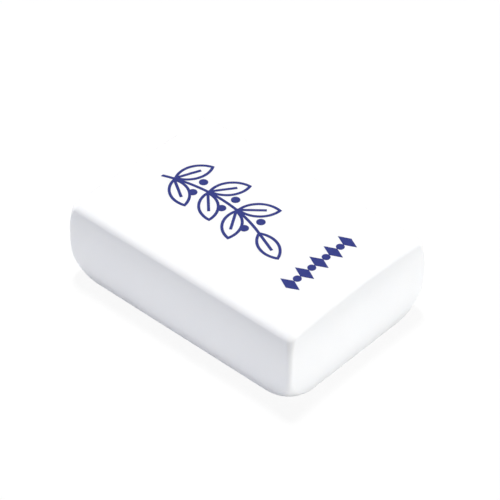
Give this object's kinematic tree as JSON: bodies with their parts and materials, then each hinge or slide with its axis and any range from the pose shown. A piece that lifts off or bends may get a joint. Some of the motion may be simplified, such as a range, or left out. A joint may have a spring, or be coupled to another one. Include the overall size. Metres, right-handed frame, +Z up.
{
  "type": "rubber eraser",
  "caption": "Soft white rubber eraser: a cushion-shaped block with a slightly crowned top, crisp upright corners, a rounded base and a blue printed ornament.",
  "frame": {"origin": "middle of the flat base, on the surface that the eraser lies on", "axes": "+X along the block towards the end that the border is printed near, +Z up out of the printed top, +Y across the block"},
  "size_m": [0.041, 0.0278, 0.0128],
  "materials": {
    "soft_rubber": "matt moulded white eraser rubber",
    "ink": "satin blue printing ink"
  },
  "bodies": {
    "root": {"body": "soft_rubber", "print": "ink"}
  },
  "joints": []
}
